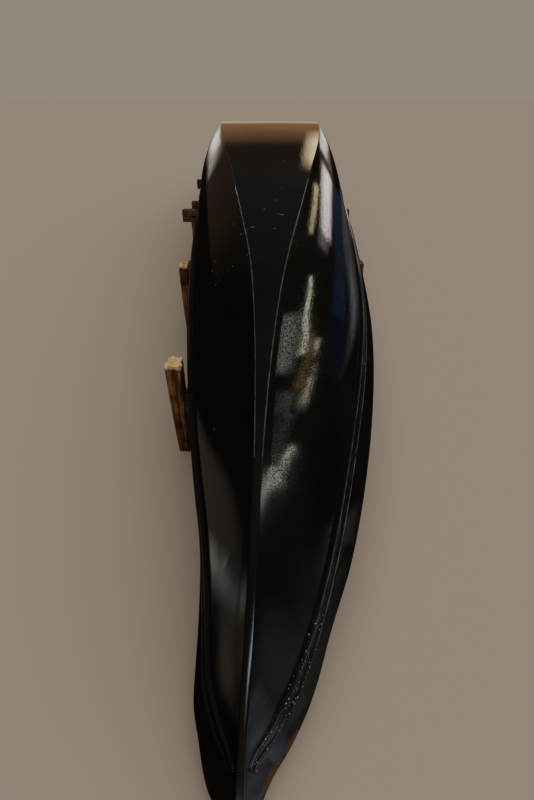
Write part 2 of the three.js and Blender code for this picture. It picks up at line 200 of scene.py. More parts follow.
def unit(x, z):
    """The vector (x, z) at length 1, as an array with x and z last."""
    size = np.hypot(x, z)
    return np.stack([x / size, z / size], axis=-1)


def corners(hull, side, inset=0.0):
    """Chine, rail and gunwale corners set inward by inset, and the two outward normals. The
    rail corner moves along the mitre, so that the panel and the strake keep their thickness."""
    sign = 1 if side == "P" else -1
    chine = np.stack([hull["chine" + side], hull["keel"]], axis=-1)
    rail = np.stack([hull["rail" + side], hull["rail"]], axis=-1)
    edge = np.stack([hull["edge" + side], hull["sheer"]], axis=-1)
    panel_out = unit(-(rail - chine)[..., 1] * sign, (rail - chine)[..., 0] * sign)
    sheer_out = unit(-(edge - rail)[..., 1] * sign, (edge - rail)[..., 0] * sign)
    both = panel_out + sheer_out
    mitre = both * 2 / (both ** 2).sum(axis=-1, keepdims=True)
    return (chine - panel_out * inset, rail - mitre * inset, edge - sheer_out * inset,
            panel_out, sheer_out)


def panel_curve(hull, side, t, inset=0.0):
    """Points at shares t from chine to rail: the straight line between them, plus an outward
    swell of 4 t (1 - t) times the bulge."""
    chine, rail, _, panel_out, _ = corners(hull, side, inset)
    t = t[..., None]
    swell = hull["bulge" + side][..., None] * 4 * t * (1 - t)
    return chine + (rail - chine) * t + panel_out * swell


def share_at(hull, side, depth):
    """The share t at which the panel is depth below the keel, by the quadratic formula."""
    _, _, _, panel_out, _ = corners(hull, side)
    lift = 4 * hull["bulge" + side] * panel_out[..., 1]
    fall = hull["rail"] - hull["keel"] + lift
    root = np.sqrt(fall ** 2 + 4 * lift * depth)
    return 2 * depth / (root - fall)


bilge = panel_curve(amidships, "P", np.linspace(0, 1, 50)[None])[0]
girth = np.linalg.norm(np.diff(bilge, axis=0), axis=1).sum()
print("port panel round its curve, amidships:", round(girth.item(), 3), "m")

# %% [markdown]
# Nearly every piece is a closed outline carried along the boat. A shipwright takes the
# sharpness off each corner with a plane and sandpaper, and it is the rounded corner that
# catches the light, so a helper does the same to the outlines before they become a mesh.

# %% Eased corners
EASE_STEPS = 4
EASE_LIMIT = 0.4        # of the shorter side beside the corner


def eased(ring, radius):
    """ring is (stations, corners, 2). A corner with a radius becomes a parabola's arc that
    starts and ends that far along its two sides, or less where a side is short. A radius is
    a number or an array with one for each station."""
    to_before = np.roll(ring, 1, axis=1) - ring
    to_after = np.roll(ring, -1, axis=1) - ring
    size_before = np.linalg.norm(to_before, axis=-1, keepdims=True)
    size_after = np.linalg.norm(to_after, axis=-1, keepdims=True)
    out = []
    for j, r in enumerate(radius):
        corner = ring[:, j:j + 1]
        if np.isscalar(r) and r == 0:
            out.append(corner)
            continue
        r = np.reshape(r, (-1, 1, 1))
        reach = np.minimum(r, EASE_LIMIT * np.minimum(size_before, size_after)[:, j:j + 1])
        a = corner + to_before[:, j:j + 1] / size_before[:, j:j + 1] * reach
        b = corner + to_after[:, j:j + 1] / size_after[:, j:j + 1] * reach
        t = np.linspace(0, 1, EASE_STEPS)[None, :, None]
        out.append((1 - t) ** 2 * a + 2 * t * (1 - t) * corner + t * t * b)
    return np.concatenate(out, axis=1)


square = np.array([[[0, 0], [1, 0], [1, 1], [0, 1]]], float)
print("a square with four eased corners has", eased(square, [0.1] * 4).shape[1], "points")

# %% [markdown]
# The outlines of neighbouring stations are then joined by quads, and a flat face closes each
# end. Computed as one array, this is quick even for ten metres of planking. The sign of the
# volume tells which way the faces point, so that they can all be turned outwards.

# %% Outlines into meshes


def at_stations(ring, hull):
    """(stations, points, 2) of x and z becomes (stations, points, 3) with each station's y."""
    y = np.broadcast_to(hull["y"][:, :, None], ring.shape[:2] + (1,))
    return np.concatenate([ring[..., :1], y, ring[..., 1:]], axis=-1)


def volume(points, quads):
    """The signed volume of a closed mesh of quads: a sixth of the sum of a . (b x c) over
    its triangles."""
    a, b, c, d = (points[quads[:, k]] for k in range(4))
    return (a * (np.cross(b, c) + np.cross(c, d))).sum() / 6


def make_piece(name, rings, materials, replaced, finish=None, sharp=35):
    """rings is (stations, points, 3). Quads join ring to ring, and one flat face closes each
    end. finish gives each point the number of the material on the quads that start there; the
    ends take the last material."""
    count, size = rings.shape[:2]
    points = rings.reshape(-1, 3)
    index = np.arange(count * size).reshape(count, size)
    here, there = index[:-1], index[1:]
    quads = np.stack([here, np.roll(here, -1, 1), np.roll(there, -1, 1), there], axis=-1)
    quads = quads.reshape(-1, 4)
    ends = [index[0][::-1].tolist(), index[-1].tolist()]
    if volume(points - points.mean(0), quads) < 0:
        quads = quads[:, ::-1]
        ends = [end[::-1] for end in ends]
    mesh = bpy.data.meshes.new(name)
    mesh.from_pydata(points.tolist(), [], quads.tolist() + ends)
    for material in materials:
        mesh.materials.append(material)
    if finish is not None:
        chosen = np.tile(finish, count - 1).tolist()
        mesh.polygons.foreach_set("material_index", chosen + [len(materials) - 1] * 2)
    mesh.shade_smooth()
    mesh.set_sharp_from_angle(angle=math.radians(sharp))
    piece = bpy.data.objects.new(name, mesh)
    bpy.context.collection.objects.link(piece)
    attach(piece, "root")
    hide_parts(*replaced)
    print(name, "quads:", len(quads))
    return piece


LEAST_PACE, GREATEST_PACE = 8 * MM, 40 * MM
PACE_SHARE = 1 / 16         # of the distance to the tip
LEAST_GAP = 3 * MM


def spaced(start, end):
    """Stations from start to end, close together near a tip and farther apart amidships."""
    pace = np.clip(fine_tip * PACE_SHARE, LEAST_PACE, GREATEST_PACE)
    count = np.concatenate([[0], np.cumsum(FINE / pace[1:])])
    inside = np.interp(np.arange(0, count[-1], 1), count, fine_s)
    inside = inside[(inside > start + LEAST_GAP) & (inside < end - LEAST_GAP)]
    return np.concatenate([[start], inside, [end]])


print("stations from tip to tip:", len(spaced(0, LENGTH)))

# %% [markdown]
# Blender's shaders want light values, but colours are easiest to judge as the sRGB hex codes
# of a colour picker, so one function turns a code into light. One more adds a node with its
# settings, its plain values and its links, and every material below is built with it.

# %% Colours and nodes


def light(code):
    """An sRGB hex code as linear red, green, blue and alpha."""
    parts = [int(code[i:i + 2], 16) / 255 for i in (1, 3, 5)]
    return [p / 12.92 if p <= 0.04045 else ((p + 0.055) / 1.055) ** 2.4 for p in parts] + [1.0]


def add(tree, kind, sockets=(), **settings):
    """Adds a node. settings are its own options. sockets gives its inputs, by their names or
    counted from 0: a plain value, a hex code, or another node or output to link from. Only
    the inputs and outputs that the settings leave in use are counted."""
    node = tree.nodes.new("ShaderNode" + kind)
    for option, value in settings.items():
        setattr(node, option, value)
    inputs = [socket for socket in node.inputs if socket.enabled]
    names = [socket.name for socket in inputs]
    for key, value in dict(sockets).items():
        socket = inputs[names.index(key) if isinstance(key, str) else key]
        if isinstance(value, bpy.types.Node):
            value = next(output for output in value.outputs if output.enabled)
        if isinstance(value, bpy.types.NodeSocket):
            tree.links.new(value, socket)
        else:
            socket.default_value = light(value) if isinstance(value, str) else value
    return node


print("light of mid grey:", [round(part, 3) for part in light("#808080")])

# %% [markdown]
# A finish is then put together as a painter would: patches of one thing or another, fades
# from one end of the boat to the other, and coats of colour over each other. All of them
# read the object's own coordinates in metres, so they keep their real size.

# %% Patches, fades and coats


def start_material(name):
    """An empty material with its tree and the object's coordinates."""
    material = bpy.data.materials.new(name)
    material.use_nodes = True
    tree = material.node_tree
    tree.nodes.clear()
    return material, tree, add(tree, "TexCoord").outputs["Object"]


def patches(tree, place, waves, levels=(0, 1), values=(0, 1), detail=2.0, rough=0.5, stretch=(1, 1, 1)):
    """A noise of so many waves per metre, slower along an axis whose stretch is below 1. Where
    it is between the two levels, it becomes what lies that far between the two values."""
    mapped = add(tree, "Mapping", {"Vector": place, "Scale": stretch})
    cloud = add(tree, "TexNoise", {"Vector": mapped, "Scale": waves, "Detail": detail,
                                   "Roughness": rough})
    return add(tree, "MapRange", {"Value": cloud, "From Min": levels[0], "From Max": levels[1],
                                  "To Min": values[0], "To Max": values[1]})


def fade(tree, place, axis, ends, values=(0, 1)):
    """The first value up to the first end along the axis, the second value from the second
    end on, and what lies that far between them from one end to the other."""
    along = add(tree, "SeparateXYZ", {"Vector": place}).outputs[axis]
    return add(tree, "MapRange", {"Value": along, "From Min": ends[0], "From Max": ends[1],
                                  "To Min": values[0], "To Max": values[1]})


def coats(tree, colour, layers):
    """colour under layers of others. A layer is a share, from 0 to 1, and its colour."""
    for share, over in layers:
        colour = add(tree, "Mix", {"Factor": share, "A": colour, "B": over}, data_type="RGBA")
    return colour


def dress(tree, sockets):
    """Ends a material with its shader, whose sockets are given as for add."""
    add(tree, "OutputMaterial", {"Surface": add(tree, "BsdfPrincipled", sockets)})


print("7 waves per metre are", round(1 / 7 / MM), "mm apart")

# %% [markdown]
# The outside is black oil enamel, brushed over planed and filled wood. It lies so smooth that
# it mirrors like wet glass, with a slow swell that makes the reflections wave. Dust that
# settled while it dried dulls some grains of its skin and leaves others bright, and that
# sparkle tells the eye that this black is paint and not plastic. The real grains are about
# 2 mm across, which this picture can't show, so they are drawn at about 4 mm.

# %% Relief of the enamel
RELIEF = [
    # waves per metre, detail, stretch along the boat, height, share of the height near the stern
    (1.6, 1.0, 0.5, 2.5 * MM, 1.0),       # the planks' own long waves
    (7.0, 2.0, 0.6, 0.3 * MM, 1.0),       # dips from sanding
    (110.0, 2.0, 0.04, 0.22 * MM, 0.25),  # brush strokes
    (100.0, 2.0, 1.0, 0.04 * MM, 1.0),    # the skin's fine peel, 10 mm across
]
FULL_RELIEF = (-4.4, -3.4)      # where along the boat the height rises from its share to all


def relief(tree, place):
    """The normal of a face that rises by each height where that row's noise goes 0 to 1."""
    normal = None
    for waves, detail, along, height, near_stern in RELIEF:
        noise = patches(tree, place, waves, detail=detail, stretch=(1, along, 1))
        share = fade(tree, place, "Y", FULL_RELIEF, (near_stern, 1))
        rise = add(tree, "Math", {0: noise, 1: share}, operation="MULTIPLY")
        sockets = {"Height": rise, "Distance": height, "Strength": 1.0}
        if normal is not None:
            sockets["Normal"] = normal
        normal = add(tree, "Bump", sockets)
    return normal


print("relief heights, mm:", [round(row[3] / MM, 2) for row in RELIEF])

# %% [markdown]
# Near the stern, the gunwale is worn to the wood in two places. Each is drawn as all that
# lies within reach of a short line, with a noise added to the distance, so that its rim is
# ragged.

# %% Worn places
WORN_EDGES = [
    # start, end, reach
    ((0.114, -5.190, 0.092), (0.102, -5.205, 0.087), 0.016),
    ((0.075, -5.240, 0.0755), (0.060, -5.258, 0.069), 0.019),
]
RIM_SWAY = 2.4                  # how far the noise moves the rim, in reaches
RIM_OUTSIDE, RIM_INSIDE = 2.25, 2.1     # no wood beyond the first, only wood within the second


def near_line(tree, place, start, end):
    """The distance in metres from the line that joins start and end."""
    run = Vector(end) - Vector(start)
    off = add(tree, "VectorMath", {0: place, 1: start}, operation="SUBTRACT")
    along = add(tree, "VectorMath", {0: off, 1: run / run.length_squared}, operation="DOT_PRODUCT")
    share = add(tree, "MapRange", {"Value": along})
    spot = add(tree, "VectorMath", {"Vector": run, "Scale": share}, operation="SCALE")
    return add(tree, "VectorMath", {0: off, 1: spot}, operation="DISTANCE")


def worn_to_wood(tree, place):
    """1 where the wood is bare, 0 where the paint holds: the greatest of the worn places."""
    ragged = patches(tree, place, 60.0, detail=4.0, rough=0.7)
    bare = 0.0
    for start, end, reach in WORN_EDGES:
        gap = near_line(tree, place, start, end)
        rim = add(tree, "Math", {0: ragged, 1: reach * RIM_SWAY, 2: gap}, operation="MULTIPLY_ADD")
        spot = add(tree, "MapRange", {"Value": rim, "From Min": reach * RIM_OUTSIDE,
                                      "From Max": reach * RIM_INSIDE})
        bare = add(tree, "Math", {0: bare, 1: spot}, operation="MAXIMUM")
    return bare


print("worn places:", len(WORN_EDGES))

# %% [markdown]
# One function then makes the enamel for every painted piece. Its index of refraction is that
# of dried oil paint. Its shine varies grain by grain about the usual level, and its roughness
# rises towards the stern, where the last coat was laid on thin and has sunk in.

# %% Black boat enamel
GRAIN_OF_SKIN = 1 / 0.0036
FINE_GRAIN = 1.45               # how much finer the grain is near the stern
GRAIN_LEVELS = (0.42, 0.6)
GRAIN_GROWS = (-4.72, -4.5)     # this and the next four are places along the boat, in metres
GRAIN_SHOWS = (-4.97, -4.84)
COAT_THINS = (-4.65, -5.0)
EDGE_SHOWS = (-5.16, -5.02)
GLINT_FLECKS_SHOW = (-4.95, -5.05)
SMOOTHEST, LEAST_SMOOTH = 0.04, 0.07    # the roughness of a full coat


def boat_enamel(name, satin=0.12, grain=0.3, worn=False, edge=None, flecks=False):
    """Gloss black brushed enamel. satin is the roughness that it rises to near the stern, where
    it was laid on thin, and grain how much the grains of its skin differ in shine. worn adds
    the gunwale's bare wood near the stern, and edge is the pale colour of a rounded corner,
    which is paint sanded thin there with a painted highlight on it. flecks adds pale flecks
    near the stern, which are painted glints."""
    material, tree, place = start_material(name)
    layers = [(patches(tree, place, 3.0, (0.35, 0.7), detail=3.0), "#1a1918")]
    # the pale edge colour is sanded-thin paint and a painted highlight together
    if edge:
        broken = patches(tree, place, 26.0, (0.36, 0.62), detail=4.0, rough=0.6)
        shows = fade(tree, place, "Y", EDGE_SHOWS)
        layers.append((add(tree, "Math", {0: broken, 1: shows}, operation="MULTIPLY"), edge))
    specks = patches(tree, place, 55.0, (0.81, 0.84), detail=0.0)
    dusty = patches(tree, place, 1.7, (0.52, 0.64))
    layers.append((add(tree, "Math", {0: specks, 1: dusty}, operation="MULTIPLY"), "#6d6c6a"))
    thin = fade(tree, place, "Y", COAT_THINS)
    uneven = patches(tree, place, 14.0, (0.3, 0.7), (SMOOTHEST, LEAST_SMOOTH), detail=3.0)
    rough = add(tree, "Math", {0: thin, 1: satin - SMOOTHEST, 2: uneven}, operation="MULTIPLY_ADD")
    if worn:
        bare = worn_to_wood(tree, place)
        fibres = patches(tree, place, 160.0, detail=3.0, stretch=(1, 0.1, 1))
        layers.append((bare, coats(tree, "#120a04", [(fibres, "#664420")])))
        rough = add(tree, "Math", {0: bare, 1: 0.6, 2: rough}, operation="MULTIPLY_ADD", use_clamp=True)
    # pale flecks near the stern: painted glints where lumpy paint catches the light
    if flecks:
        painted_glints = patches(tree, place, 280.0, (0.75, 0.79), detail=0.0)
        shows = fade(tree, place, "Y", GLINT_FLECKS_SHOW)
        layers.append((add(tree, "Math", {0: painted_glints, 1: shows}, operation="MULTIPLY"), "#b4b6b8"))
    coarse = patches(tree, place, GRAIN_OF_SKIN, GRAIN_LEVELS, (-grain, grain), detail=0.0)
    small = patches(tree, place, GRAIN_OF_SKIN * FINE_GRAIN, GRAIN_LEVELS, (-grain, grain), detail=0.0)
    grains = add(tree, "Mix", {"Factor": fade(tree, place, "Y", GRAIN_GROWS), "A": small, "B": coarse})
    shows = fade(tree, place, "Y", GRAIN_SHOWS, (0, 0.5))
    shine = add(tree, "Math", {0: grains, 1: shows, 2: 0.5}, operation="MULTIPLY_ADD")
    dress(tree, {"Base Color": coats(tree, "#141413", layers), "Roughness": rough, "IOR": 1.52,
                 "Specular IOR Level": shine, "Normal": relief(tree, place)})
    print("enamel:", name, "layers:", len(layers))
    return material


enamel = boat_enamel("black_boat_enamel")
grainy_enamel = boat_enamel("black_boat_enamel_grainy", satin=0.16, grain=1.0)
satin_enamel = boat_enamel("black_boat_enamel_satin", satin=0.16)
worn_enamel = boat_enamel("black_boat_enamel_worn_at_stern", satin=0.24, worn=True)
# pale grey along rounded edges: sanded-thin paint with a painted highlight
edge_wear_and_highlight_enamel = boat_enamel("black_boat_enamel_rubbed_and_lit_edge", edge="#5b5c5f")
# pale grey on the port rail's bead crowns is a painted highlight, with pale flecks near the stern as
# painted glints
bead_highlight_enamel = boat_enamel("black_boat_enamel_bead_highlight", satin=0.24, edge="#8d8e90", flecks=True)
# the port rail's enamel, with pale flecks near the stern as painted glints
glint_flecked_enamel = boat_enamel("black_boat_enamel_glint_flecked", satin=0.24, flecks=True)

# %% [markdown]
# Inside, the wood is planed and oiled. Softwood shows straight grain, drawn 9 mm apart along
# each board so that it shows, and a little darker in the late wood. The grain runs along the
# piece, so each direction has its own copy of the material. The bottom is laid across the
# boat in boards about 180 mm wide, and its seams show from inside.

# %% Oiled wood
GRAIN_WAVES = 1 / 0.009
BOARD, OPEN_SEAM = 180 * MM, 2.5 * MM


def grain_along(axis, stretch):
    """No stretch on two axes, and the given one on the axis that the grain runs along."""
    return [stretch if number == axis else 1.0 for number in range(3)]


def oiled_wood(name, axis, boards=False):
    """Planed softwood with its grain along axis 0, 1 or 2. boards adds a seam every so often
    along Y, where the distance to the nearest multiple of a board's width is close to 0."""
    material, tree, place = start_material(name)
    grain = patches(tree, place, GRAIN_WAVES, detail=3.0, rough=0.6, stretch=grain_along(axis, 0.04))
    early = add(tree, "MapRange", {"Value": grain, "From Min": 0.3, "From Max": 0.72})
    stains = patches(tree, place, 4.0, (0.3, 0.7), (0.72, 1.08), detail=3.0)
    wood = coats(tree, "#6f4c29", [(early, "#a9804f")])
    colour = add(tree, "HueSaturation", {"Saturation": 0.95, "Value": stains, "Color": wood})
    height = grain
    if boards:
        y = add(tree, "SeparateXYZ", {"Vector": place}).outputs["Y"]
        to_seam = add(tree, "Math", {0: y, 1: BOARD / 2}, operation="PINGPONG")
        board = add(tree, "MapRange", {"Value": to_seam, "From Max": OPEN_SEAM})
        colour = coats(tree, "#1c130b", [(board, colour)])
        height = add(tree, "Math", {0: grain, 1: board}, operation="MULTIPLY")
    rough = add(tree, "MapRange", {"Value": grain, "From Min": 0.2, "From Max": 0.8,
                                   "To Min": 0.62, "To Max": 0.48})
    planed = add(tree, "Bump", {"Height": height, "Distance": 0.4 * MM, "Strength": 1.0})
    dress(tree, {"Base Color": colour, "Roughness": rough, "Normal": planed})
    print("wood:", name)
    return material


wood_along = oiled_wood("oiled_larch_along_the_boat", 1)
wood_across = oiled_wood("oiled_larch_across_the_boat", 0)
wood_boards = oiled_wood("oiled_larch_bottom_boards", 0, boards=True)

# %% [markdown]
# The supports are old baulks of softwood, split by years of wet and dry. Weathering leaves
# the hard late wood standing in ridges, opens long cracks, greys what faces the air
# and keeps a warm orange brown where the surface has broken off lately. The hollows between
# the ridges are painted darker and the cracks nearly black, as painted shade.

# %% Old timber
PROP_TOP = 442 * MM
SAWN_FROM = PROP_TOP - 16 * MM      # a prop's end is pale and newly broken above about this
BREAK = 30 * MM                     # how uneven that line is


def old_timber(name, axis, fresh, dull, crack_waves=30.0, pale_end=False):
    """Split and weathered softwood with its grain along axis 0 or 2."""
    material, tree, place = start_material(name)
    stretch = grain_along(axis, 0.06)
    fibre = patches(tree, place, 140.0, detail=4.0, rough=0.65, stretch=stretch)
    crack = patches(tree, place, crack_waves, detail=3.0, rough=0.6, stretch=stretch)
    # darker colour in the hollows between the fibre ridges is painted shade
    hollow_shade = add(tree, "MapRange", {"Value": fibre, "From Min": 0.62, "From Max": 0.38})
    layers = [(patches(tree, place, 9.0, (0.40, 0.62), detail=4.0, rough=0.6), fresh),
              (hollow_shade, "#2a1a0e")]
    if pale_end:
        up = add(tree, "SeparateXYZ", {"Vector": place}).outputs["Z"]
        ragged = patches(tree, place, 60.0)
        level = add(tree, "Math", {0: ragged, 1: BREAK, 2: up}, operation="MULTIPLY_ADD")
        broken = add(tree, "MapRange", {"Value": level, "From Min": SAWN_FROM + 12 * MM,
                                        "From Max": SAWN_FROM + 18 * MM})
        layers.append((broken, "#d6bd8c"))
    # near-black in the cracks is painted shade
    crack_shade = add(tree, "MapRange", {"Value": crack, "From Min": 0.40, "From Max": 0.33})
    layers.append((crack_shade, "#0d0805"))
    whole = add(tree, "MapRange", {"Value": crack, "From Min": 0.33, "From Max": 0.42})
    split = add(tree, "Bump", {"Height": whole, "Distance": 4 * MM, "Strength": 1.0})
    ridges = add(tree, "Bump", {"Height": fibre, "Distance": 1.5 * MM, "Strength": 1.0, "Normal": split})
    dress(tree, {"Base Color": coats(tree, dull, layers), "Roughness": 0.88, "Normal": ridges})
    print("timber:", name)
    return material


post_timber = old_timber("rotten_softwood_post", 2, "#a87f52", "#65492f")
prop_timber = old_timber("rotten_softwood_prop", 2, "#b07d50", "#5a3a22", crack_waves=18.0,
                         pale_end=True)
beam_timber = old_timber("weathered_softwood_beam", 0, "#7d6a56", "#4b3f34")

# %% [markdown]
# The bottom is flat across and curved along, and narrows to the post at each end. Its edge
# is planed to a small round, which catches the light, and the middle of each round is painted
# pale grey, as sanded-thin paint with a painted highlight. Together they make the thin bright
# line that runs down each side of the bottom.

# %% Bottom planking
CHINE_EASE, TIP_EASE = 3 * MM, 2 * MM
TIP_EASE_FROM, TIP_EASE_FULL = 4.3, 5.1     # from the middle of the boat, in metres


def chine_ease(hull):
    """The chine's rounding at each station, which grows by TIP_EASE towards the tips."""
    away = np.abs(hull["y"][:, 0])
    share = np.clip((away - TIP_EASE_FROM) / (TIP_EASE_FULL - TIP_EASE_FROM), 0, 1)
    return CHINE_EASE + TIP_EASE * share


def along_side(hull, side, depth, inset=0.0):
    """The point of the panel at depth below the keel, on its face set inward by inset."""
    return panel_curve(hull, side, share_at(hull, side, depth), inset)


def bottom_outline(hull):
    """Chine to chine on top, then down the slanting edges to the underside."""
    places = (("S", 0 * hull["cap"]), ("P", 0 * hull["cap"]), ("P", hull["cap"]), ("S", hull["cap"]))
    ring = [along_side(hull, side, depth) for side, depth in places]
    ease = chine_ease(hull)
    return eased(np.concatenate(ring, axis=1), [ease, ease, 0, 0])


def made_along(name, start, end, outline, materials, slot, replaced, finish=None):
    """A piece whose outline at each station from start to end is outline(hull)."""
    hull = hull_at(spaced(start, end))
    return make_piece(name, at_stations(outline(hull), hull), materials, replaced, finish)


# starboard round, flat, port round, port edge, underside, starboard edge
# the middle of each round takes the pale edge paint, a painted highlight on sanded-thin paint
bottom_finish = [0, 1, 0] + [0] + [0, 1, 0] + [2, 4, 3]
made_along("bottom_planking", POST_END, LENGTH - POST_END, bottom_outline,
           [enamel, edge_wear_and_highlight_enamel, grainy_enamel, satin_enamel, wood_boards], "black_paint",
           ["bottom_aft", "bottom_middle", "bottom_fore"], bottom_finish)

# %% [markdown]
# The side planking swells gently between the chine and the rub rail. Its outer and inner
# faces are the same curve, one plank's thickness apart. The sheer strake below the rail is
# straight in section, and its lower edge is the gunwale.

# %% Side planking
PANEL_POINTS = 15
GUNWALE_EASE, INNER_EASE = 3 * MM, 2 * MM
SIDES = {"S": "starboard", "P": "port"}


def planking_outline(hull, side):
    """Down the outer face from under the bottom planking to the rail, and back up inside."""
    top = share_at(hull, side, hull["cap"])
    t = top + (1 - top) * np.linspace(0, 1, PANEL_POINTS)
    outer = panel_curve(hull, side, t)
    inner = panel_curve(hull, side, t[:, ::-1], PLANK)
    return np.concatenate([outer, inner], axis=1)


def strake_outline(hull, side):
    """The sheer strake: rail corner to gunwale outside, and back up inside, edges eased."""
    _, rail, edge, _, _ = corners(hull, side)
    _, rail_in, edge_in, _, _ = corners(hull, side, PLANK)
    drop = (hull["sheer"] - edge_in[..., 1])[..., None] / (edge_in - rail_in)[..., 1:]
    foot_in = edge_in + (edge_in - rail_in) * drop
    ring = np.stack([rail, edge, foot_in, rail_in], axis=2)[:, 0]
    return eased(ring, [0, GUNWALE_EASE, INNER_EASE, 0])


# outer face and lower edge, inner face, upper edge
planking_finish = [0] * PANEL_POINTS + [1] * (PANEL_POINTS - 1) + [0]
# outer face, gunwale's outer round, foot, inner round, inner face and upper edge
# the middle of the gunwale's outer round takes the pale edge paint, a painted highlight on sanded-thin
# paint
strake_finish = [0] + [0, 1, 0] + [0] + [0, 0, 0] + [2, 2]
planking_enamel = {"S": satin_enamel, "P": grainy_enamel}
for side, word in SIDES.items():
    made_along("side_planking_" + word, HEAD_END, LENGTH - HEAD_END,
               lambda hull: planking_outline(hull, side), [planking_enamel[side], wood_along],
               "black_paint", [f"side_plank_{word}_aft", f"side_plank_{word}_fore"], planking_finish)
    made_along("sheer_strake_" + word, HEAD_END, LENGTH - HEAD_END,
               lambda hull: strake_outline(hull, side), [worn_enamel, edge_wear_and_highlight_enamel, wood_along],
               "black_paint", [f"sheer_strake_{word}_aft", f"sheer_strake_{word}_fore"], strake_finish)

# %% [markdown]
# Each end is closed by a post. Its head is solid out to the gunwales and comes to a blunt
# nose, and its shank runs up between the planks, where its face shows as the narrow strip
# between the two sides. The nose is rounded by shrinking the first outlines towards their
# middle along a quarter circle.

# %% Posts
NOSE, NOSE_SIZE = 5 * MM, 0.75      # length, and the size of its flat front
NOSE_STEPS = (0, 0.15, 0.4, 0.7, 1)
HEAD_EASE = 4 * MM
POST_DEPTH, POST_SHARE = 110 * MM, 0.45     # the share is of the depth from keel to rail
HEAD_POINTS = 10


def head_outline(hull):
    """The whole cross-section: across the top, down port, across the gunwales, up starboard."""
    t = np.broadcast_to(np.linspace(0, 1, HEAD_POINTS), hull["y"].shape[:1] + (HEAD_POINTS,))
    port, starboard = panel_curve(hull, "P", t), panel_curve(hull, "S", t)
    _, _, edge_p, _, _ = corners(hull, "P")
    _, _, edge_s, _, _ = corners(hull, "S")
    ring = np.concatenate([starboard[:, :1], port, edge_p, edge_s, starboard[:, :0:-1]], axis=1)
    flat = [0] * (HEAD_POINTS - 1)
    ease = chine_ease(hull)
    return eased(ring, [ease, ease] + flat + [HEAD_EASE, HEAD_EASE] + flat)


def nosed(ring, s):
    """Outlines nearer than NOSE to a tip shrink to NOSE_SIZE along a quarter circle."""
    tip = np.minimum(np.minimum(s, LENGTH - s) / NOSE, 1)
    size = NOSE_SIZE + (1 - NOSE_SIZE) * np.sqrt(1 - (1 - tip) ** 2)
    centre = ring.mean(axis=1, keepdims=True)
    return centre + (ring - centre) * size[:, None, None]


def shank_outline(hull):
    """The strip's face, its slanting edges, and a tongue that fills the gap between planks."""
    cap, inside = hull["cap"], PLANK + SEAM
    low = cap + np.minimum(POST_DEPTH, (hull["keel"] - hull["rail"]) * POST_SHARE - cap)
    places = (("S", 0 * cap, 0), ("P", 0 * cap, 0), ("P", cap, 0), ("P", cap, inside),
              ("P", low, inside), ("S", low, inside), ("S", cap, inside), ("S", cap, 0))
    ring = [along_side(hull, *place) for place in places]
    ease = chine_ease(hull)
    return eased(np.concatenate(ring, axis=1), [ease, ease] + [0] * 6)


def from_tip(word, start, end):
    """The stretch from start to end off the stern's tip or the stem's, in order from astern."""
    return (LENGTH - end, LENGTH - start) if word == "stem" else (start, end)


# the strip and its rounds, the port side, the tongue, the starboard side
shank_finish = [0] * 7 + [1] * 3 + [0] + [2] * 3
# the strip and its rounds, all the rest
head_finish = [0] * 7 + [1] * (2 * HEAD_POINTS + 7)
rounded = np.array(NOSE_STEPS) * NOSE
for word in ("stern", "stem"):
    extra = LENGTH - rounded if word == "stem" else rounded
    s = np.unique(np.concatenate([spaced(*from_tip(word, 0, HEAD_END)), extra]))
    hull = hull_at(s)
    make_piece(word + "_post_head", at_stations(nosed(head_outline(hull), s), hull),
               [enamel, worn_enamel], [word + "_post"], head_finish)
    made_along(word + "_post_shank", *from_tip(word, HEAD_END, POST_END), shank_outline,
               [enamel, grainy_enamel, satin_enamel], "black_paint", [word + "_post"], shank_finish)

# %% [markdown]
# The rub rail covers the seam of planking and strake. It is one strip with a half-round bead
# along each edge and a groove between, worked with a moulding plane. It is bent over the
# knuckle of the hull, so each point of its profile is laid off along whichever leg it lies
# on, with the outward direction turning smoothly from one leg's to the other's.

# %% Rub rails
RAIL_FROM = 138 * MM
KNUCKLE = 8 * MM
BEAD_POINTS = 9
# in millimetres: how far down and out a bead's middle lies, and its radius
UPPER_BEAD, LOWER_BEAD = (-17.0, 6.0, 5.0), (17.3, 5.3, 4.7)
GROOVE, GROOVE_PLACES = 4.6, (-11.2, 0, 11.6)   # how far out its floor lies, and where
FOOT = -0.6         # how far out the rail's back lies, just inside the planking's face


def bead(down, out, radius, turn):
    """An arc: the middle plus the radius times the cosine and the sine of each angle."""
    return np.stack([down + radius * np.cos(turn), out + radius * np.sin(turn)], axis=1)


def rail_profile():
    """Round each bead on an arc, with the groove's floor between, then back along the foot."""
    turn = np.radians(np.linspace(180, 12, BEAD_POINTS))
    upper = bead(*UPPER_BEAD, turn)
    lower = bead(*LOWER_BEAD, math.pi - turn[::-1])
    floor = [(x, GROOVE) for x in GROOVE_PLACES]
    foot = [(lower[-1, 0], FOOT), (0, FOOT), (upper[0, 0], FOOT)]
    return np.concatenate([upper, floor, lower, foot]) * MM


# the port rail's two bead crowns carry a pale painted highlight, one face on each
rail_finish = {"S": [0] * 24, "P": [0] * 4 + [1] + [0] * 10 + [1] + [0] * 8}
# the port rail's enamel carries pale flecks near the stern, which are painted glints
rail_enamel = {"S": satin_enamel, "P": glint_flecked_enamel}


